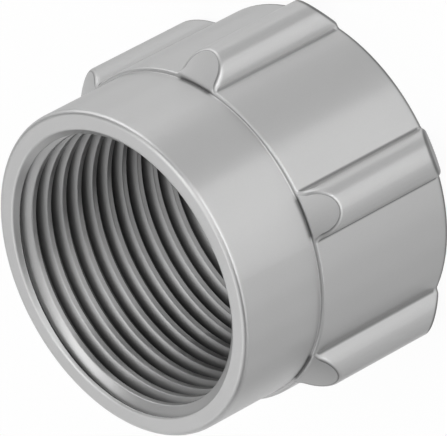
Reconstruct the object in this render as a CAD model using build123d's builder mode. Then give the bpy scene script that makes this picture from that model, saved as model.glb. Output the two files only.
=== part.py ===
from build123d import *
import os
from math import radians, tan

# Union nut with six grip ribs and a parallel inside thread, M22 x 1.5.
# It pulls the flanged end of a tail pipe up against the end that it screws onto.
# The nut stands on its ribbed end: Z runs up the axis to the threaded mouth, the origin
# is the middle of the ribbed end face, and one rib lies along +X. The bore is the inside
# diameter of the thread, and the turns of the thread are cut outwards from it.

# Inside thread: its full diameter, and its depth on each side
thread_diameter = 22.0
thread_depth = 0.7

# Plain collar round the mouth
collar_wall = 1.4
collar_height = 7.4
mouth_outer_round = 0.4
lead_in_chamfer = 0.7
lead_in_round = 0.3

# Ribbed body, which stands out a little past the collar
body_step = 0.33
body_height = 12.6
step_edge_break = 0.15

# Grip ribs: half-round, centred just outside the body, turned off to a cone at each end
rib_count = 6
rib_width = 3.6
rib_centre_rise = 0.05
rib_root_round = 0.4
rib_end_round = 0.3
front_land = 0.2
front_slope = 43.0
rear_land = 0.35
rear_slope = 48.0

# Inward shoulder at the ribbed end, which bears on the flange of the tail pipe
tail_pipe_diameter = 16.0
tail_pipe_clearance = 0.25
shoulder_thickness = 1.6
shoulder_edge_break = 0.3

# Relief groove between the thread and the shoulder, with a sloping wall at each side
relief_width = 1.4
relief_depth = 0.25
relief_wall_rise = 0.5
seat_clearance = 0.1

# Radii that follow, from the axis outwards
shoulder_bore_radius = tail_pipe_diameter / 2 + tail_pipe_clearance
thread_radius = thread_diameter / 2
thread_bore_radius = thread_radius - thread_depth
seat_radius = thread_bore_radius - seat_clearance
relief_radius = thread_radius + relief_depth
collar_radius = thread_radius + collar_wall
body_radius = collar_radius + body_step
rib_centre_radius = body_radius + rib_centre_rise
crest_radius = rib_centre_radius + rib_width / 2
blank_radius = crest_radius + rib_width

# Heights that follow, and where the two turning cones start and end
overall_height = body_height + collar_height
thread_start = shoulder_thickness + relief_width
relief_bottom = shoulder_thickness + relief_wall_rise
relief_top = thread_start - relief_wall_rise
front_cone_radius = body_radius + front_land
front_cone_foot = body_height - (blank_radius - front_cone_radius) * tan(radians(front_slope))
rear_cone_radius = body_radius + rear_land
rear_cone_top = (blank_radius - rear_cone_radius) * tan(radians(rear_slope))

os.makedirs("parts", exist_ok=True)

with BuildPart() as union_nut:
    # Plan of the ribbed body: a disc with round ribs, filleted where they meet it
    with BuildSketch(Plane.XY) as body_plan:
        Circle(body_radius)
        with PolarLocations(rib_centre_radius, rib_count):
            Circle(rib_width / 2)
        fillet(body_plan.vertices(), radius=rib_root_round)
    extrude(amount=body_height)

    # Turning envelope of the body: the ends of the ribs are cut back to two cones
    with BuildSketch(Plane.XZ) as body_envelope:
        with BuildLine():
            Polyline(
                (0, 0),
                (rear_cone_radius, 0),
                (blank_radius, rear_cone_top),
                (blank_radius, front_cone_foot),
                (front_cone_radius, body_height),
                (0, body_height),
                close=True,
            )
        make_face()
    revolve(axis=Axis.Z, mode=Mode.INTERSECT)

    # Rounded outline of each front facet, and the broken edge of the step
    front_facets = union_nut.faces().filter_by(GeomType.CONE).sort_by(Axis.Z)[-rib_count:]
    facet_outlines = front_facets.edges().filter_by(GeomType.CIRCLE, reverse=True)
    fillet(facet_outlines, radius=rib_end_round)
    step_face = union_nut.faces().filter_by(Plane.XY).sort_by(Axis.Z)[-1]
    chamfer(step_face.edges(), length=step_edge_break)

    # Collar
    with BuildSketch(Plane.XY.offset(body_height)):
        Circle(collar_radius)
    extrude(amount=collar_height)
    mouth_face = union_nut.faces().sort_by(Axis.Z)[-1]
    fillet(mouth_face.edges(), radius=mouth_outer_round)

    # Inside: thread bore, relief groove, and the bore through the shoulder. The lower wall
    # of the groove slopes, so that the seat on the shoulder ends within the thread bore.
    # A lead-in at the mouth starts the thread, and its upper edge is rounded
    with BuildSketch(Plane.XZ) as hollow:
        with BuildLine():
            Polyline(
                (0, 0),
                (shoulder_bore_radius, 0),
                (shoulder_bore_radius, shoulder_thickness),
                (seat_radius, shoulder_thickness),
                (relief_radius, relief_bottom),
                (relief_radius, relief_top),
                (thread_bore_radius, thread_start),
                (thread_bore_radius, overall_height),
                (0, overall_height),
                close=True,
            )
        make_face()
    revolve(axis=Axis.Z, mode=Mode.SUBTRACT)
    mouth_face = union_nut.faces().sort_by(Axis.Z)[-1]
    chamfer(mouth_face.inner_wires().edges(), length=lead_in_chamfer)
    mouth_face = union_nut.faces().sort_by(Axis.Z)[-1]
    fillet(mouth_face.inner_wires().edges(), radius=lead_in_round)
    shoulder_edges = union_nut.edges().filter_by(GeomType.CIRCLE).filter_by(
        lambda edge: abs(edge.radius - shoulder_bore_radius) < shoulder_edge_break
    )
    chamfer(shoulder_edges, length=shoulder_edge_break)

union_nut.part.label = "union_nut"
export_step(union_nut.part, "parts/union_nut.step")
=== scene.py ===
import logging
import math
from collections.abc import Sequence
from dataclasses import dataclass, field
from enum import Enum

import bpy
import numpy as np
from mathutils import Matrix, Vector
from numpy.typing import NDArray


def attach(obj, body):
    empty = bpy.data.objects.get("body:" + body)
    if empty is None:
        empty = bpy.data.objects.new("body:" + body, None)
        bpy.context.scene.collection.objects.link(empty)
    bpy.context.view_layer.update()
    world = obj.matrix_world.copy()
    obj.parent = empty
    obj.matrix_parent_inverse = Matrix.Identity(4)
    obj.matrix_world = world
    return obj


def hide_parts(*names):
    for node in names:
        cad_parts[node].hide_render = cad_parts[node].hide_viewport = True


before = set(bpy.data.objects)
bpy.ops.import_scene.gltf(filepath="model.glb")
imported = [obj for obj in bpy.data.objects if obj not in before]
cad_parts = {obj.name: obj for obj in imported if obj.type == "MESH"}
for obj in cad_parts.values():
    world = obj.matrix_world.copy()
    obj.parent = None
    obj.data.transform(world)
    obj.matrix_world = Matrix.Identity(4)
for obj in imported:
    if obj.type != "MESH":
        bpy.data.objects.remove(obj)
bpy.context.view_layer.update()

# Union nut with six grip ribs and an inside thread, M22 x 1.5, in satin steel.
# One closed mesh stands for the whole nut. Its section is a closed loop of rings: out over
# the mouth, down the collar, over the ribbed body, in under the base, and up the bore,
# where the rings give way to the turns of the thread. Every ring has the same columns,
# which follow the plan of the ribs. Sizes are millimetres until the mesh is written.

Array = NDArray[np.float64]
Faces = NDArray[np.int64]

LOG = logging.getLogger("union_nut")
MILLIMETRE = 0.001
SMALLEST_ROUND = 1e-4
SEAM_TOLERANCE = 1e-9
FULL_TURN = 2.0 * math.pi

# Heights of the step and of the mouth, and the slope of the lead-in in degrees
STEP_HEIGHT = 12.6
MOUTH_HEIGHT = 20.0
LEAD_SLOPE = 45.0


def arc(centre: tuple[float, float], radius: float, start: float, end: float, steps: int) -> Array:
    """Points on an arc in the (radius, height) plane of a section.

    Each point is the centre plus the radius times (cos, sin) of an even angle.

    Args:
        centre: Radius and height of the arc's centre.
        radius: Radius of the arc.
        start: First angle in degrees, from the outward direction up.
        end: Last angle in degrees.
        steps: Number of equal steps.

    Returns:
        Points of shape (steps + 1, 2).
    """
    angle = np.radians(np.linspace(start, end, steps + 1))
    return np.array(centre) + radius * np.stack([np.cos(angle), np.sin(angle)], axis=1)


def run(start: tuple[float, float], end: tuple[float, float], shares: Sequence[float] | Array) -> Array:
    """Points on a straight line of a section.

    Each point is start plus its share of the way to end.

    Args:
        start: Radius and height of the first end.
        end: Radius and height of the second end.
        shares: Where the points lie, from 0 at start to 1 at end.

    Returns:
        Points of shape (len(shares), 2).
    """
    first, last = np.array(start), np.array(end)
    return first + np.array(shares)[:, None] * (last - first)


def revolve(section: Array, angles: Array) -> Array:
    """Rings of a surface of revolution: each section point turned to each column's angle.

    Args:
        section: Radius and height, of shape (rings, 2) or, column by column, (rings, columns, 2).
        angles: Angle of each column in radians.

    Returns:
        Points of shape (rings, columns, 3).
    """
    if section.ndim == 2:
        section = np.repeat(section[:, None, :], len(angles), axis=1)
    radius, height = section[..., 0], section[..., 1]
    return np.stack([radius * np.cos(angles), radius * np.sin(angles), height], axis=-1)


@dataclass(frozen=True)
class RibPlan:
    """Plan of the ribbed body, as one outline point and one outward normal for each column."""

    body_radius: float = 12.73
    centre_radius: float = 12.78
    rib_round: float = 1.8
    root_round: float = 0.3
    count: int = 6
    crest_steps: int = 9
    root_steps: int = 9
    body_steps: int = 6

    @property
    def crest_radius(self) -> float:
        """Distance from the axis to the top of a rib."""
        return self.centre_radius + self.rib_round

    def half_sector(self) -> tuple[Array, Array, Array]:
        """Outline from the top of the rib on +X to half way to the next rib.

        The crest is an arc about the rib's own centre. The root round is a hollow arc, whose
        centre lies its own radius off the crest's circle and off the body's: where two
        circles with those radii cross. The body is an arc about the axis.

        Returns:
            Points and outward normals, each of shape (steps + 1, 2), and each point's share
            of the rib: 1 on the crest, and falling to 0 over the root round.
        """
        to_axis, to_rib = self.body_radius + self.root_round, self.rib_round + self.root_round
        root_x = (to_axis**2 - to_rib**2 + self.centre_radius**2) / (2 * self.centre_radius)
        root_y = math.sqrt(to_axis**2 - root_x**2)
        crest_end = math.atan2(root_y, root_x - self.centre_radius)
        root_end = math.atan2(root_y, root_x)

        crest_turn = np.linspace(0.0, crest_end, self.crest_steps + 1)
        crest_normal = np.stack([np.cos(crest_turn), np.sin(crest_turn)], axis=1)
        crest = np.array([self.centre_radius, 0.0]) + self.rib_round * crest_normal

        root_turn = np.linspace(crest_end, root_end, self.root_steps + 1)[1:]
        root_normal = np.stack([np.cos(root_turn), np.sin(root_turn)], axis=1)
        root = np.array([root_x, root_y]) - self.root_round * root_normal

        body_turn = np.linspace(root_end, math.pi / self.count, self.body_steps + 1)[1:]
        body_normal = np.stack([np.cos(body_turn), np.sin(body_turn)], axis=1)
        body = self.body_radius * body_normal
        points = np.concatenate([crest, root, body])
        normals = np.concatenate([crest_normal, root_normal, body_normal])
        falling = np.linspace(1.0, 0.0, self.root_steps + 1)[1:]
        share = np.concatenate([np.ones(self.crest_steps + 1), falling, np.zeros(self.body_steps)])
        return points, normals, share

    def rib_share(self) -> Array:
        """Each column's share of its rib: 1 on the crest, 0 between the ribs."""
        _, _, share = self.half_sector()
        return np.tile(np.concatenate([share[:0:-1], share[:-1]]), self.count)

    def outline(self) -> tuple[Array, Array]:
        """Whole outline: the half sector, its mirror image, and their copies round the axis.

        Returns:
            Points and outward normals, each of shape (columns, 2), counter-clockwise.
        """
        points, normals, _ = self.half_sector()
        mirror = np.array([1.0, -1.0])
        sector = np.concatenate([(points * mirror)[:0:-1], points[:-1]])
        facing = np.concatenate([(normals * mirror)[:0:-1], normals[:-1]])
        turn = np.arange(self.count) * FULL_TURN / self.count
        cos, sin = np.cos(turn), np.sin(turn)
        spin = np.stack([np.stack([cos, -sin], 1), np.stack([sin, cos], 1)], axis=1)
        whole = np.einsum("kij,nj->kni", spin, sector).reshape(-1, 2)
        outward = np.einsum("kij,nj->kni", spin, facing).reshape(-1, 2)
        return whole, outward


class Facing(Enum):
    """Which way an end faces along the axis."""

    UP = 1.0
    DOWN = -1.0


@dataclass(frozen=True)
class TurnedEnd:
    """End of the ribbed body: a flat face, a round turn of the edge, then a cone."""

    face_height: float
    cone_radius: float
    slope: float
    turn_round: float
    facing: Facing

    def offset(self, radius: Array, depth: Array) -> tuple[Array, Array]:
        """Height and normal of the end's surface, moved into the metal.

        The face stays flat up to the turn, the turn keeps its centre and loses the depth
        from its radius, and the cone moves down by the depth over the cosine of its slope.
        Deeper than its own radius, the turn is a sharp corner.

        Args:
            radius: Distances from the axis.
            depth: How far the surface is moved into the metal.

        Returns:
            Heights, and normals of shape (..., 2), as if the end faced up from zero.
        """
        slope = math.radians(self.slope)
        broad = np.maximum(self.turn_round, depth + SMALLEST_ROUND)
        centre = self.cone_radius - broad * math.tan(slope / 2)
        inner = broad - depth
        across = np.clip((radius - centre) / inner, 0.0, math.sin(slope))
        normal = np.stack([across, np.sqrt(1.0 - across**2)], axis=-1)
        turned = inner * normal[..., 1] - broad
        run_out = np.maximum(radius - centre - inner * math.sin(slope), 0.0)
        return turned - run_out * math.tan(slope), normal

    def turn_span(self) -> tuple[float, float]:
        """Radii at which the turn between the face and the cone starts and stops."""
        start = self.cone_radius - self.turn_round * math.tan(math.radians(self.slope) / 2)
        return start, start + self.turn_round * math.sin(math.radians(self.slope))

    def place(self, height: Array) -> Array:
        """Heights measured from the end's face, brought to the nut's own frame."""
        return self.face_height + self.facing.value * height


@dataclass(frozen=True)
class RibbedBody:
    """Ribbed body: the wall along the plan, with a rounded edge and a turned cone at each end."""

    plan: RibPlan = field(default_factory=RibPlan)
    front: TurnedEnd = TurnedEnd(STEP_HEIGHT, 12.68, 42.0, 0.3, Facing.UP)
    rear: TurnedEnd = TurnedEnd(0.0, 12.95, 45.0, 0.6, Facing.DOWN)
    body_round: float = 0.2
    rib_round: float = 0.4
    flat_steps: int = 3
    turn_steps: int = 5
    cone_step: float = 0.2
    row_gap: float = 0.002
    edge_steps: int = 6
    wall_shares: tuple[float, ...] = (0.02, 0.08, 0.25, 0.5, 0.75, 0.92, 0.975, 0.99)

    def edge_rounds(self) -> Array:
        """Radius of the rounded edge at each column: wide round the ribs, narrow between them."""
        return self.body_round + self.plan.rib_share() * (self.rib_round - self.body_round)

    def column_angles(self) -> Array:
        """Angle of each column about the axis, taken where the edge's round is centred."""
        points, normals = self.plan.outline()
        inset = points - self.edge_rounds()[:, None] * normals
        return np.unwrap(np.arctan2(inset[:, 1], inset[:, 0]))

    def face_radii(self, end: TurnedEnd, inner_radius: float) -> Array:
        """Radii of the rings on one end's face: even steps to the turn, over it and up the cone."""
        start, stop = end.turn_span()
        flat = np.linspace(inner_radius, start, self.flat_steps + 1)[1:]
        turn = np.linspace(start, stop, self.turn_steps + 1)[1:]
        cone = np.arange(stop + self.cone_step / 2, self.plan.crest_radius, self.cone_step)
        return np.concatenate([flat, turn, cone])

    def end_rings(self, end: TurnedEnd, inner_radius: float) -> Array:
        """Rings from an inner circle out over one end's face and cone and round its edge.

        A ball of the edge's radius rolls inside the wall and under the end's surface. Its
        centre is the outline moved in by that radius, at the height of the offset surface.
        The face's rings are circles, and each stops a hair inside the place where the ball
        touches the face. The edge is the ball's own arc from there to the wall.

        Args:
            end: The end's sizes.
            inner_radius: Radius of the circle that the face starts from.

        Returns:
            Points of shape (rings, columns, 3). The last ring lies on the wall.
        """
        points, normals = self.plan.outline()
        edge_round = self.edge_rounds()
        inset = points - edge_round[:, None] * normals
        reach = np.hypot(inset[:, 0], inset[:, 1])
        radial = inset / reach[:, None]
        depth, touch = end.offset(reach, edge_round)
        touch_radius = reach + edge_round * touch[:, 0]

        fixed = self.face_radii(end, inner_radius)[:, None]
        gaps = self.row_gap * np.arange(len(fixed), 0, -1)[:, None]
        radii = np.concatenate([np.minimum(fixed, touch_radius - gaps), touch_radius[None]])
        face_height, _ = end.offset(radii, np.zeros(()))
        face = np.concatenate([radii[..., None] * radial, end.place(face_height)[..., None]], axis=-1)

        first = np.concatenate([touch[:, :1] * radial, end.facing.value * touch[:, 1:]], axis=1)
        last = np.concatenate([normals, np.zeros((len(normals), 1))], axis=1)
        opening = np.arccos(np.clip((first * last).sum(axis=1), -1.0, 1.0))
        share = np.linspace(0.0, 1.0, self.edge_steps + 1)[1:, None]
        weight_first = np.sin((1.0 - share) * opening) / np.sin(opening)
        weight_last = np.sin(share * opening) / np.sin(opening)
        lean = weight_first[..., None] * first + weight_last[..., None] * last
        centre = np.concatenate([inset, end.place(depth)[:, None]], axis=1)
        return np.concatenate([face, centre + edge_round[:, None] * lean])

    def wall_rings(self, top: Array, bottom: Array) -> Array:
        """Rings down the wall: each is its share of the way from the top ring to the bottom one."""
        shares = np.array(self.wall_shares)[:, None, None]
        return top + shares * (bottom - top)

    def rings(self, step_radius: float, base_radius: float) -> Array:
        """Rings over the step and front cones, down the wall and round under the base.

        Args:
            step_radius: Radius at which the step's face starts.
            base_radius: Radius at which the base's last ring lies.

        Returns:
            Points of shape (rings, columns, 3).
        """
        front = self.end_rings(self.front, step_radius)
        rear = self.end_rings(self.rear, base_radius)[::-1]
        return np.concatenate([front, self.wall_rings(front[-1], rear[0]), rear])


@dataclass(frozen=True)
class Collar:
    """Plain collar round the mouth, with a rounded rim and a small hollow round at its foot."""

    radius: float = 12.4
    top: float = MOUTH_HEIGHT
    foot: float = STEP_HEIGHT
    outer_round: float = 0.4
    foot_round: float = 0.08
    round_steps: int = 9
    foot_steps: int = 4
    flat_shares: tuple[float, ...] = (0.0, 0.06, 0.5, 0.94)
    wall_shares: tuple[float, ...] = (0.015, 0.15, 0.4, 0.65, 0.88, 0.95, 0.97, 0.985)

    def section(self, flat_start: float) -> Array:
        """Section from the mouth's flat, over the rim and down to the step.

        Args:
            flat_start: Radius at which the mouth's flat starts.

        Returns:
            Points of shape (rings, 2).
        """
        flat_end = self.radius - self.outer_round
        wall_top = self.top - self.outer_round
        wall_foot = self.foot + self.foot_round
        flat = run((flat_start, self.top), (flat_end, self.top), self.flat_shares)
        rim = arc((flat_end, wall_top), self.outer_round, 90.0, 0.0, self.round_steps)
        wall = run((self.radius, wall_top), (self.radius, wall_foot), self.wall_shares)
        hollow = (self.radius + self.foot_round, wall_foot)
        foot = arc(hollow, self.foot_round, 180.0, 270.0, self.foot_steps)
        return np.concatenate([flat, rim, wall, foot])


@dataclass(frozen=True)
class Shoulder:
    """Underside, bore through the shoulder, seat, and relief groove below the thread."""

    bore_radius: float = 8.25
    thickness: float = 1.6
    edge_break: float = 0.3
    base_radius: float = 12.2
    seat_radius: float = 10.2
    relief_radius: float = 11.25
    relief_bottom: float = 2.1
    relief_top: float = 2.5
    thread_start: float = 3.0
    thread_bore_radius: float = 10.3
    base_shares: tuple[float, ...] = (0.1, 0.4, 0.7, 0.99)
    wall_shares: tuple[float, ...] = (0.0, 0.02, 0.5, 0.98)

    def relief_wall(self, height: Array) -> Array:
        """Radius of the groove's upper wall: a straight slope in to the thread's bore."""
        share = (height - self.relief_top) / (self.thread_start - self.relief_top)
        return self.relief_radius + share * (self.thread_bore_radius - self.relief_radius)

    def section(self, last_height: float) -> Array:
        """Section from the base, through the shoulder's bore and up into the relief groove.

        Past the base, each two corners in turn are joined by a straight run.

        Args:
            last_height: Height on the groove's upper wall where the thread's turns take over.

        Returns:
            Points of shape (rings, 2). The last one belongs to the thread's first ring.
        """
        edge, inner = self.edge_break, self.bore_radius
        outer = inner + edge
        base = run((self.base_radius, 0.0), (outer, 0.0), self.base_shares)
        corners = [
            (outer, 0.0), (inner, edge), (inner, self.thickness - edge), (outer, self.thickness),
            (self.seat_radius, self.thickness), (self.relief_radius, self.relief_bottom),
            (self.relief_radius, self.relief_top),
        ]
        walls = [run(start, end, self.wall_shares) for start, end in zip(corners, corners[1:])]
        last = np.array([[self.relief_radius, self.relief_top],
                         [float(self.relief_wall(np.array(last_height))), last_height]])
        return np.concatenate([base, *walls, last])


@dataclass(frozen=True)
class Thread:
    """Inside thread: the groove's profile, its helix, and the lead-in that it runs out in."""

    radius: float = 11.1
    depth: float = 0.8
    pitch: float = 1.5
    flank_angle: float = 30.0
    root_share: float = 0.125
    crest_break: float = 0.05
    root_break: float = 0.08
    height_on_x: float = 0.62
    mouth_height: float = MOUTH_HEIGHT
    lead_in: float = 0.7
    lead_round: float = 0.3
    split_height: float = 18.2
    straight_steps: int = 30
    lead_steps: int = 20
    round_steps: int = 5
    merge_height: float = 0.02

    @property
    def bore_radius(self) -> float:
        """Radius at the crests."""
        return self.radius - self.depth

    @property
    def flat_start(self) -> float:
        """Radius at which the mouth's flat starts, past the lead-in and its rounded edge."""
        return self.bore_radius + self.lead_in + self.lead_round * math.tan(math.radians(LEAD_SLOPE) / 2)

    def profile(self) -> tuple[Array, Array]:
        """Groove's profile over one pitch, from the middle of its root to the next one's.

        The root flat, the flank and the crest flat are straight. Where two of them meet, the
        corner is cut back by the break along both, with one point at half that depth.

        Returns:
            Heights above the root's middle, and depths below the crest, both of shape (points,).
        """
        half_root = self.root_share * self.pitch / 2
        half_open = half_root + self.depth * math.tan(math.radians(self.flank_angle))
        lean = math.radians(self.flank_angle)
        along = np.array([math.sin(lean), -math.cos(lean)])
        flat = np.array([1.0, 0.0])
        root = np.array([half_root, self.depth])
        crest = np.array([half_open, 0.0])
        before_root, after_root = root - self.root_break * flat, root + self.root_break * along
        before_crest, after_crest = crest - self.crest_break * along, crest + self.crest_break * flat
        half = np.array([
            before_root, (before_root + 2 * root + after_root) / 4, after_root,
            before_crest, (before_crest + 2 * crest + after_crest) / 4, after_crest,
        ])
        mirrored = np.stack([self.pitch - half[::-1, 0], half[::-1, 1]], axis=1)
        middle = np.array([[self.pitch / 2, 0.0]])
        start = np.array([[0.0, self.depth]])
        whole = np.concatenate([start, half, middle, mirrored])
        return whole[:, 0], whole[:, 1]

    def groove_radius(self, angles: Array, heights: Array) -> Array:
        """Radius of the thread's surface at any place in the bore.

        The place's own turn is its height over the pitch less its share of a full turn. What
        is left over after whole turns looks up the profile.

        Args:
            angles: Angles about the axis in radians, from 0 to a full turn.
            heights: Heights in the nut's frame.

        Returns:
            Radii, of the shape that angles and heights have together.
        """
        turn = angles / FULL_TURN
        pitches = (heights - self.height_on_x) / self.pitch - turn
        number = np.round(pitches)
        offset, depth = self.profile()
        return self.bore_radius + np.interp(np.abs(pitches - number) * self.pitch, offset, depth)

    def mouth_rings(self, angles: Array) -> Array:
        """Rings over the top turns and the lead-in, up to the mouth's flat.

        The wall follows the bore, the lead-in's slope and the arc of its edge, and is pushed
        out to the groove wherever that is the wider of the two.

        Args:
            angles: Angle of each column.

        Returns:
            Points of shape (rings, columns, 3), from the split height up. The ring on the
            flat itself is left out.
        """
        lead_start = (self.bore_radius, self.mouth_height - self.lead_in)
        bore = run((self.bore_radius, self.split_height), lead_start,
                   np.linspace(0.0, 1.0, self.straight_steps + 1)[:-1])
        edge = arc((self.flat_start, self.mouth_height - self.lead_round), self.lead_round,
                   90.0 + LEAD_SLOPE, 90.0, self.round_steps)
        slope = run(lead_start, (edge[0, 0], edge[0, 1]),
                    np.linspace(0.0, 1.0, self.lead_steps + 1)[:-1])
        wall = np.concatenate([bore, slope, edge[:-1]])
        section = np.repeat(wall[:, None, :], len(angles), axis=1)
        section[..., 0] = np.maximum(section[..., 0], self.groove_radius(angles, section[..., 1]))
        return revolve(section, angles)

    def turns(self, angles: Array, shoulder: Shoulder, first: float) -> tuple[Array, Array, Array, int]:
        """Vertices along the helix: each profile point carried up a pitch with every turn.

        Args:
            angles: Angle of each column, from 0 to a full turn.
            shoulder: The shoulder, whose relief groove cuts into the lowest turns.
            first: Height where the turns start.

        Returns:
            Points of shape (rows, columns, 3), whether each lies at or below the first
            height, whether each lies at or above the split height, and rows per turn.
        """
        offset, _ = self.profile()
        per_turn = len(offset)
        low = math.floor((first - self.height_on_x) / self.pitch) - 1
        high = math.ceil((self.split_height - self.height_on_x) / self.pitch) + 1
        base = self.height_on_x + self.pitch * np.arange(low, high)
        rows = (base[:, None] + offset).reshape(-1, 1)
        heights = rows + self.pitch * angles / FULL_TURN
        radii = np.maximum(self.groove_radius(angles, heights), shoulder.relief_wall(heights))
        below = heights <= first + self.merge_height
        above = heights >= self.split_height - self.merge_height
        return revolve(np.stack([radii, heights], axis=-1), angles), below, above, per_turn


@dataclass
class MeshBook:
    """Collects vertices and triangles, and writes them to one Blender mesh."""

    points: list[Array] = field(default_factory=list)
    depths: list[Array] = field(default_factory=list)
    triangles: list[Faces] = field(default_factory=list)
    count: int = 0

    def add_points(self, grid: Array, depth: Array) -> Faces:
        """Adds a grid of points.

        Args:
            grid: Points of shape (rows, columns, 3).
            depth: Painted shade of each, from 0 to 1, of shape (rows, columns).

        Returns:
            The index of each, of shape (rows, columns).
        """
        index = self.count + np.arange(grid.shape[0] * grid.shape[1]).reshape(grid.shape[:2])
        self.points.append(grid.reshape(-1, 3))
        self.depths.append(depth.reshape(-1))
        self.count += index.size
        return index

    def add_strips(self, left: Faces, right: Faces) -> None:
        """Adds the triangles between each column of rows and the column to its right.

        A cell is split in two triangles, and one that has the same vertex twice is left out,
        so that a row may end in the ring that it runs into.

        Args:
            left: Indices of shape (rows, columns).
            right: Indices of the neighbours to the right, of the same shape.
        """
        a, b, c, d = left[:-1], right[:-1], right[1:], left[1:]
        halves = [np.stack(half, axis=-1).reshape(-1, 3) for half in ((a, b, c), (a, c, d))]
        both = np.concatenate(halves)
        whole = (both[:, 0] != both[:, 1]) & (both[:, 1] != both[:, 2]) & (both[:, 2] != both[:, 0])
        self.triangles.append(both[whole])

    def write(self, name: str) -> bpy.types.Object:
        """Writes the mesh in metres, with faces outward and normals weighted by face area.

        A vertex normal is the sum of its faces' cross products, which grow with their area,
        so a broad flat face stays flat up to the small round beside it.

        Args:
            name: Name of the object.

        Returns:
            The new object, linked to the scene.
        """
        faces = np.concatenate(self.triangles)
        used, packed = np.unique(faces, return_inverse=True)
        faces = packed.reshape(-1, 3)
        points = np.concatenate(self.points)[used] * MILLIMETRE
        a, b, c = points[faces[:, 0]], points[faces[:, 1]], points[faces[:, 2]]
        if np.einsum("ij,ij->i", a, np.cross(b, c)).sum() < 0:
            faces = faces[:, ::-1]
        first = points[faces[:, 0]]
        area = np.cross(points[faces[:, 1]] - first, points[faces[:, 2]] - first)
        normals = np.zeros_like(points)
        for corner in range(3):
            np.add.at(normals, faces[:, corner], area)
        normals /= np.linalg.norm(normals, axis=1, keepdims=True)

        mesh = bpy.data.meshes.new(name)
        mesh.from_pydata(points, [], faces.tolist())
        mesh.update()
        mesh.polygons.foreach_set("use_smooth", np.ones(len(faces), bool))
        mesh.normals_split_custom_set_from_vertices(normals.tolist())
        # The painted shade is stored as a point attribute, which the material reads.
        groove = mesh.attributes.new("painted_shade", "FLOAT", "POINT")
        groove.data.foreach_set("value", np.concatenate(self.depths)[used].astype(np.float32))
        made = bpy.data.objects.new(name, mesh)
        bpy.context.scene.collection.objects.link(made)
        return made


class Nodes:
    """Short hand for one node tree: makes a node, sets its plain values and links its inputs."""

    def __init__(self, tree: bpy.types.NodeTree) -> None:
        """Keeps the tree and takes out what it holds."""
        self.tree = tree
        tree.nodes.clear()

    def add(self, kind: str, values: dict, links: dict | None = None, **options: object) -> bpy.types.Node:
        """Adds a node.

        Args:
            kind: The node's type, as its class is named without the first word.
            values: Plain values, by the input's name or number.
            links: Outputs that feed inputs, by the input's name or number.
            **options: Settings of the node itself.

        Returns:
            The new node.
        """
        node = self.tree.nodes.new("ShaderNode" + kind)
        for name, value in options.items():
            setattr(node, name, value)
        for name, value in values.items():
            node.inputs[name].default_value = value
        for name, output in (links or {}).items():
            self.tree.links.new(output, node.inputs[name])
        return node


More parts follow.
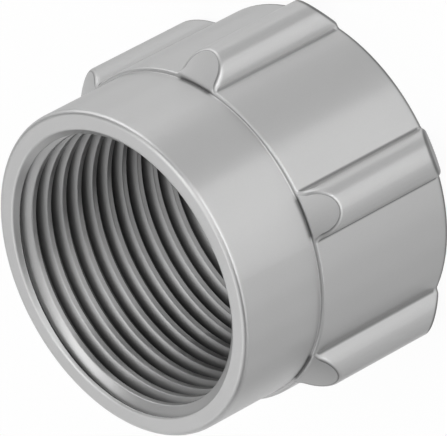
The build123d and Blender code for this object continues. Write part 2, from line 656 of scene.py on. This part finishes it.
@dataclass(frozen=True)
class SatinSteel:
    """Satin finish: bare steel with a fine grain that runs round the nut, and painted shade in grooves,
    corners and lines.

    The noise bounds are where the sum of the grain and the cloud is taken to end. The face
    and wall bounds say how squarely a surface faces along the axis, from 1 on a face across
    it to 0 on a wall. The outward lean is added to the axis for each metre from it.
    """

    colour: float = 0.49
    painted_shade_colour: float = 0.03
    roughness: float = 0.40
    roughness_swing: float = 0.03
    tone_swing: float = 0.03
    grain_size: float = 0.12
    grain_detail: float = 3.0
    cloud_size: float = 6.0
    cloud_detail: float = 2.0
    noise_low: float = 0.6
    noise_high: float = 1.4
    grain_height: float = 0.0015
    grain_draw: float = 1.0
    face_bound: float = 0.95
    wall_bound: float = 0.3
    outward_lean: float = 15.0

    def material(self) -> bpy.types.Material:
        """Builds the material.

        The tone is the steel's own, with a faint cloud and a fine grain. It darkens with the
        mesh's painted shade: in the thread's grooves, in fine lines along the ribs and round
        their ends, and on the turned rear end. The grain's lines run round the
        nut, so a highlight on the wall is drawn out along the axis. On a face across the axis
        the highlight is round.

        Returns:
            The new material.
        """
        made = bpy.data.materials.new("satin_steel")
        made.use_nodes = True
        nodes = Nodes(made.node_tree)
        place = nodes.add("TexCoord", {}).outputs["Object"]
        grain = nodes.add("TexNoise", {"Scale": 1 / (self.grain_size * MILLIMETRE),
                                       "Detail": self.grain_detail}, {"Vector": place}).outputs["Fac"]
        cloud = nodes.add("TexNoise", {"Scale": 1 / (self.cloud_size * MILLIMETRE),
                                       "Detail": self.cloud_detail}, {"Vector": place}).outputs["Fac"]
        both = nodes.add("Math", {}, {0: grain, 1: cloud}, operation="ADD").outputs[0]
        tone = nodes.add("MapRange", {"From Min": self.noise_low, "From Max": self.noise_high,
                                      "To Min": self.colour * (1 - self.tone_swing),
                                      "To Max": self.colour * (1 + self.tone_swing)},
                         {"Value": both}).outputs[0]
        # Painted shade: the attribute darkens the base colour down to the painted shade colour.
        depth = nodes.add("Attribute", {}, attribute_name="painted_shade").outputs["Fac"]
        shade_factor = nodes.add("MapRange", {"To Min": 1.0, "To Max": self.painted_shade_colour / self.colour},
                         {"Value": depth}, interpolation_type="SMOOTHSTEP").outputs[0]
        shade = nodes.add("Math", {}, {0: tone, 1: shade_factor}, operation="MULTIPLY").outputs[0]
        rough = nodes.add("MapRange", {"From Min": self.noise_low, "From Max": self.noise_high,
                                       "To Min": self.roughness - self.roughness_swing,
                                       "To Max": self.roughness + self.roughness_swing},
                          {"Value": both}).outputs[0]
        bump = nodes.add("Bump", {"Distance": self.grain_height * MILLIMETRE, "Strength": 1.0},
                         {"Height": grain}).outputs[0]
        facing = nodes.add("SeparateXYZ", {}, {0: nodes.add("NewGeometry", {}).outputs["Normal"]})
        across = nodes.add("Math", {}, {0: facing.outputs["Z"]}, operation="ABSOLUTE").outputs[0]
        drawn = nodes.add("MapRange", {"From Min": self.face_bound, "From Max": self.wall_bound,
                                       "To Min": 0.0, "To Max": self.grain_draw},
                          {"Value": across}).outputs[0]
        lean = (self.outward_lean, self.outward_lean, 0.0)
        outward = nodes.add("VectorMath", {1: lean, 2: (0.0, 0.0, 1.0)}, {0: place},
                            operation="MULTIPLY_ADD").outputs[0]
        shader = nodes.add("BsdfPrincipled", {"Metallic": 1.0},
                           {"Base Color": shade, "Roughness": rough, "Normal": bump,
                            "Anisotropic": drawn, "Tangent": outward}).outputs[0]
        nodes.add("OutputMaterial", {}, {"Surface": shader})
        return made


@dataclass(frozen=True)
class UnionNut:
    """The whole nut: one closed mesh made of its collar, body, shoulder and thread.

    The turns start at a height on the relief groove's upper wall, out of sight. The other
    values say how dark the painted shade is, and how far it reaches, in the thread, at the ribs
    and at the rear end.
    """

    body: RibbedBody = RibbedBody()
    collar: Collar = Collar()
    shoulder: Shoulder = Shoulder()
    thread: Thread = Thread()
    turns_start: float = 2.64
    mouth_shade: float = 0.9
    deep_shade: float = 0.72
    shade_fade: float = 8.0
    unshaded_flank: float = 1.8
    unshaded_power: float = 4.0
    corner_reach: float = 0.4
    corner_depth: float = 0.8
    rear_rise: float = 0.2
    rear_fade: float = 0.18
    rear_depth: float = 0.62
    rear_inner: float = 12.3
    root_shade: float = 0.55
    outline_shades: tuple[float, ...] = (0.5, 0.45, 0.25)

    def build(self) -> bpy.types.Object:
        """Stacks the rings of every sub-assembly and joins them into one closed surface.

        Returns:
            The nut's object.
        """
        angles = self.body.column_angles()
        seam = int(np.argmax(np.mod(angles, FULL_TURN) < SEAM_TOLERANCE))
        book = MeshBook()
        collar = revolve(self.collar.section(self.thread.flat_start), angles)
        step_radius = self.collar.radius + self.collar.foot_round
        body = self.body.rings(step_radius, self.shoulder.base_radius)
        inside = revolve(self.shoulder.section(self.turns_start), angles)
        rings = np.concatenate([collar, body, inside])
        lines = np.zeros(rings.shape[:2])
        lines[len(collar):len(collar) + len(body)] = self.rib_shade_lines(len(body), step_radius)
        # Painted shade of the outside: in the corners at the ribs' front ends, on the rear end, and in
        # fine lines round the facets and along the ribs' roots.
        shade = np.maximum.reduce([self.corner_shade(rings), self.rear_shade(rings), lines])
        outer = book.add_points(rings, shade)
        rings = self.thread.mouth_rings(np.mod(angles, FULL_TURN))
        mouth = book.add_points(rings, self.painted_shade(rings))
        book.add_strips(outer, np.roll(outer, -1, axis=1))
        closed = np.concatenate([mouth, outer[:1]])
        book.add_strips(closed, np.roll(closed, -1, axis=1))

        wrapped = np.roll(np.mod(angles, FULL_TURN), -seam)
        grid, below, above, per_turn = self.thread.turns(wrapped, self.shoulder, self.turns_start)
        low_ring, high_ring = np.roll(outer[-1], -seam), np.roll(mouth[0], -seam)
        index = book.add_points(grid, self.painted_shade(grid))
        index = np.where(below, low_ring, np.where(above, high_ring, index))
        after_seam = np.concatenate([index[per_turn:, 0], np.full(per_turn, high_ring[0])])
        book.add_strips(index, np.concatenate([index[:, 1:], after_seam[:, None]], axis=1))
        return book.write("union_nut_dressed")

    def painted_shade(self, rings: Array) -> Array:
        """Painted shade in the bore, from the depth below the thread's crests as a share of the groove's
        full depth.

        The painted shade is darkest in the first turns, and thins evenly down to the fade's depth.
        Near the mouth it lies in the roots alone: the share is raised to a power that grows
        towards the mouth. The slope of the lead-in counts from its own surface.

        Args:
            rings: Points in the bore, of shape (rings, columns, 3).

        Returns:
            Shares from 0 to 1, of shape (rings, columns).
        """
        inward = self.thread.mouth_height - rings[..., 2]
        lead = np.maximum(self.thread.lead_in - inward, 0.0)
        below = np.hypot(rings[..., 0], rings[..., 1]) - self.thread.bore_radius - lead
        deepest = self.thread.depth - np.minimum(lead, self.thread.depth / 2)
        open_share = np.clip(below / deepest, 0.0, 1.0)
        fade = np.clip(inward / self.shade_fade, 0.0, 1.0)
        power = 1.0 + self.unshaded_power * np.clip(self.unshaded_flank - inward, 0.0, 1.0)
        return open_share**power * (self.mouth_shade + fade * (self.deep_shade - self.mouth_shade))

    def corner_shade(self, rings: Array) -> Array:
        """Painted shade: how close each point lies to the corner between the collar and a rib's end.

        The share falls off evenly with the distance from the corner, and only columns that
        belong to a rib have one.

        Args:
            rings: Points of the outside, of shape (rings, columns, 3).

        Returns:
            Shares from 0 to 1, of shape (rings, columns).
        """
        radius, height = np.hypot(rings[..., 0], rings[..., 1]), rings[..., 2]
        away = np.hypot(radius - self.collar.radius, height - self.collar.foot)
        near = np.clip((self.corner_reach - away) / self.corner_reach, 0.0, 1.0)
        return self.corner_depth * near * self.body.plan.rib_share()

    def rib_shade_lines(self, count: int, step_radius: float) -> Array:
        """Painted shade in fine dark lines: round each front facet, and along each rib's roots.

        The facet's line starts on the first ring of its rounded outline. A root's line is
        darkest half way round the root, at four times the rib's share times what it lacks.

        Args:
            count: Number of the body's rings.
            step_radius: Radius at which the step's face starts.

        Returns:
            Shares from 0 to 1, of shape (count, columns).
        """
        share = self.body.plan.rib_share()
        lines = np.zeros((count, len(share)))
        outline = len(self.body.face_radii(self.body.front, step_radius))
        depths = np.array(self.outline_shades)
        lines[outline:outline + len(depths)] = depths[:, None] * share
        wall = outline + self.body.edge_steps
        lines[wall:wall + len(self.body.wall_shares)] = self.root_shade * 4.0 * share * (1.0 - share)
        return lines

    def rear_shade(self, rings: Array) -> Array:
        """Painted shade on the turned rear end of the body: how close each point lies to it.

        The share is whole up to a small rise above the end's surface and then fades out. It
        also fades out on the flat base inside the body's edge.

        Args:
            rings: Points of the outside, of shape (rings, columns, 3).

        Returns:
            Shares from 0 to 1, of shape (rings, columns).
        """
        radius, height = np.hypot(rings[..., 0], rings[..., 1]), rings[..., 2]
        surface, _ = self.body.rear.offset(radius, np.zeros(()))
        above = height - self.body.rear.place(surface)
        near = np.clip((self.rear_rise + self.rear_fade - above) / self.rear_fade, 0.0, 1.0)
        return self.rear_depth * near * np.clip((radius - self.rear_inner) / self.rear_fade, 0.0, 1.0)

    def dress(self, nut: bpy.types.Object, finish: SatinSteel) -> None:
        """Gives the nut its finish, and puts it in place of the plain solid.

        Args:
            nut: The nut's object.
            finish: The finish.
        """
        nut.data.materials.append(finish.material())
        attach(nut, "root")
        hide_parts("union_nut")


@dataclass(frozen=True)
class PhotoCamera:
    """Camera at the photograph's viewing angle, far off and with a long lens.

    The angles, the distance, the lens and the aim come from a fit of the nut's rim, thread,
    step and outline to the photograph. The clips are metres, the other lengths millimetres.
    """

    azimuth: float = 101.7
    elevation: float = 36.941
    roll: float = 117.998
    distance: float = 604.85
    lens: float = 686.6
    sensor: float = 36.0
    aim: tuple[float, float, float] = (0.124, 0.157, 9.797)
    clip_start: float = 0.1
    clip_end: float = 100.0

    def build(self) -> bpy.types.Object:
        """Places the camera: back along azimuth and elevation from the aim, then rolled.

        Returns:
            The camera's object, which is the scene's camera.
        """
        turn, lift = math.radians(self.azimuth), math.radians(self.elevation)
        back = Vector((math.sin(turn) * math.cos(lift), -math.cos(turn) * math.cos(lift), math.sin(lift)))
        data = bpy.data.cameras.new("photo_camera")
        data.lens, data.sensor_width = self.lens, self.sensor
        camera = bpy.data.objects.new("photo_camera", data)
        upright = (-back).to_track_quat("-Z", "Y").to_matrix()
        rolled = Matrix.Rotation(math.radians(self.roll), 3, -back) @ upright
        place = (Vector(self.aim) + back * self.distance) * MILLIMETRE
        camera.matrix_world = Matrix.Translation(place) @ rolled.to_4x4()
        data.clip_start = self.clip_start
        data.clip_end = self.clip_end
        bpy.context.scene.collection.objects.link(camera)
        bpy.context.scene.camera = camera
        return camera


@dataclass(frozen=True)
class SoftBox:
    """One soft box: a flat white panel that stands at a bearing round the nut and faces it.

    The angles are degrees, the width and height metres, and the power watts.
    """

    name: str
    azimuth: float
    elevation: float
    width: float
    height: float
    power: float

    def build(self, distance: float) -> bpy.types.Object:
        """Places the lamp at its distance along the bearing, turned to the nut.

        Args:
            distance: Distance from the nut in metres.

        Returns:
            The lamp's object.
        """
        turn, lift = math.radians(self.azimuth), math.radians(self.elevation)
        out = Vector((math.cos(turn) * math.cos(lift), math.sin(turn) * math.cos(lift), math.sin(lift)))
        data = bpy.data.lights.new(self.name, "AREA")
        data.shape, data.size, data.size_y = "RECTANGLE", self.width, self.height
        data.energy = self.power
        lamp = bpy.data.objects.new(self.name, data)
        lamp.location = out * distance + Vector((0.0, 0.0, MOUTH_HEIGHT / 2 * MILLIMETRE))
        lamp.rotation_euler = (-out).to_track_quat("-Z", "Y").to_euler()
        lamp.visible_camera = False
        bpy.context.scene.collection.objects.link(lamp)
        return lamp


@dataclass(frozen=True)
class LampRing:
    """Ring of soft boxes of one size, at even bearings round the nut, each with its own power."""

    name: str
    elevation: float
    first_azimuth: float
    width: float
    height: float
    powers: tuple[float, ...]

    def boxes(self) -> list[SoftBox]:
        """Soft boxes of the ring, without those whose power is zero."""
        step = 360.0 / len(self.powers)
        return [SoftBox(f"{self.name}_{number}", self.first_azimuth + step * number, self.elevation,
                        self.width, self.height, power)
                for number, power in enumerate(self.powers) if power > 0.0]


@dataclass(frozen=True)
class Studio:
    """Pale floor, white backdrop, and rings of soft boxes at three heights and overhead.

    The rings' powers weren't set by hand. They are rounded results of a least-squares fit,
    in which each soft box was rendered alone and the sum was brought to the photograph's
    tones. Lengths are metres.
    """

    floor_radius: float = 3.0
    floor_sides: int = 96
    floor_colour: float = 0.85
    floor_glow: float = 0.95
    sky: float = 0.01
    distance: float = 0.5
    rings: tuple[LampRing, ...] = (
        LampRing("low", 14.0, 5.0, 0.17, 0.22,
                 (0.46, 0.42, 0.17, 0.18, 0.345, 0.32, 0.24, 0.115, 0.07,
                  0.12, 0.135, 0.105, 0.095, 0.015, 0.085, 0.17, 0.255, 0.42)),
        LampRing("middle", 45.0, 0.0, 0.19, 0.25,
                 (0.065, 0.14, 0.0, 0.095, 0.015, 0.06, 0.165, 0.18, 0.135, 0.085, 0.0, 0.0)),
        LampRing("high", 68.0, 0.0, 0.20, 0.20, (0.18, 0.26, 0.285, 0.225, 0.125, 0.095)),
        LampRing("top", 90.0, 0.0, 0.20, 0.20, (0.04,)),
    )

    def floor(self) -> bpy.types.Object:
        """Builds the floor: a flat disc that shows white and keeps a soft shadow.

        Returns:
            The floor's object.
        """
        turn = np.arange(self.floor_sides) * FULL_TURN / self.floor_sides
        rim = np.stack([np.cos(turn), np.sin(turn), np.zeros_like(turn)], axis=1) * self.floor_radius
        mesh = bpy.data.meshes.new("floor")
        mesh.from_pydata(rim.tolist(), [], [list(range(self.floor_sides))])
        floor = bpy.data.objects.new("floor", mesh)
        bpy.context.scene.collection.objects.link(floor)
        mesh.materials.append(self.floor_paint())
        return floor

    def floor_paint(self) -> bpy.types.Material:
        """Builds the floor's paint: pale and matt, and mostly white to the camera and in the metal.

        Returns:
            The new material.
        """
        made = bpy.data.materials.new("floor_paint")
        made.use_nodes = True
        nodes = Nodes(made.node_tree)
        ray = nodes.add("LightPath", {}).outputs
        seen = nodes.add("Math", {}, {0: ray["Is Camera Ray"], 1: ray["Is Glossy Ray"]},
                         operation="MAXIMUM").outputs[0]
        seen = nodes.add("Math", {}, {0: seen, 1: ray["Is Transmission Ray"]},
                         operation="MAXIMUM").outputs[0]
        share = nodes.add("Math", {1: self.floor_glow}, {0: seen}, operation="MULTIPLY").outputs[0]
        matt = nodes.add("BsdfDiffuse", {"Color": (*[self.floor_colour] * 3, 1.0)}).outputs[0]
        white = nodes.add("Emission", {"Color": (1.0, 1.0, 1.0, 1.0), "Strength": 1.0}).outputs[0]
        mixed = nodes.add("MixShader", {}, {0: share, 1: matt, 2: white}).outputs[0]
        nodes.add("OutputMaterial", {}, {"Surface": mixed})
        return made

    def build(self) -> None:
        """Builds the floor, the backdrop and the rings of soft boxes."""
        scene = bpy.context.scene
        scene.view_settings.view_transform = "Standard"
        self.floor()
        world = bpy.data.worlds.new("studio")
        world.use_nodes = True
        scene.world = world
        nodes = Nodes(world.node_tree)
        seen = nodes.add("LightPath", {}).outputs["Is Camera Ray"]
        glow = nodes.add("Math", {1: self.sky}, {0: seen}, operation="MAXIMUM").outputs[0]
        even = nodes.add("Background", {"Color": (1.0, 1.0, 1.0, 1.0)}, {"Strength": glow}).outputs[0]
        nodes.add("OutputWorld", {}, {"Surface": even})
        for ring in self.rings:
            boxes = ring.boxes()
            for box in boxes:
                box.build(self.distance)
            LOG.info("%s ring: %d soft boxes at %d degrees up", ring.name, len(boxes), ring.elevation)


def main() -> None:
    """Builds the nut, the studio and the camera, and logs each piece."""
    logging.basicConfig(level=logging.INFO, format="%(name)s: %(message)s")
    assembly = UnionNut()
    nut = assembly.build()
    assembly.dress(nut, SatinSteel())
    LOG.info("%s: %d triangles", nut.name, len(nut.data.polygons))
    Studio().build()
    PhotoCamera().build()


if __name__ == "__main__":
    main()
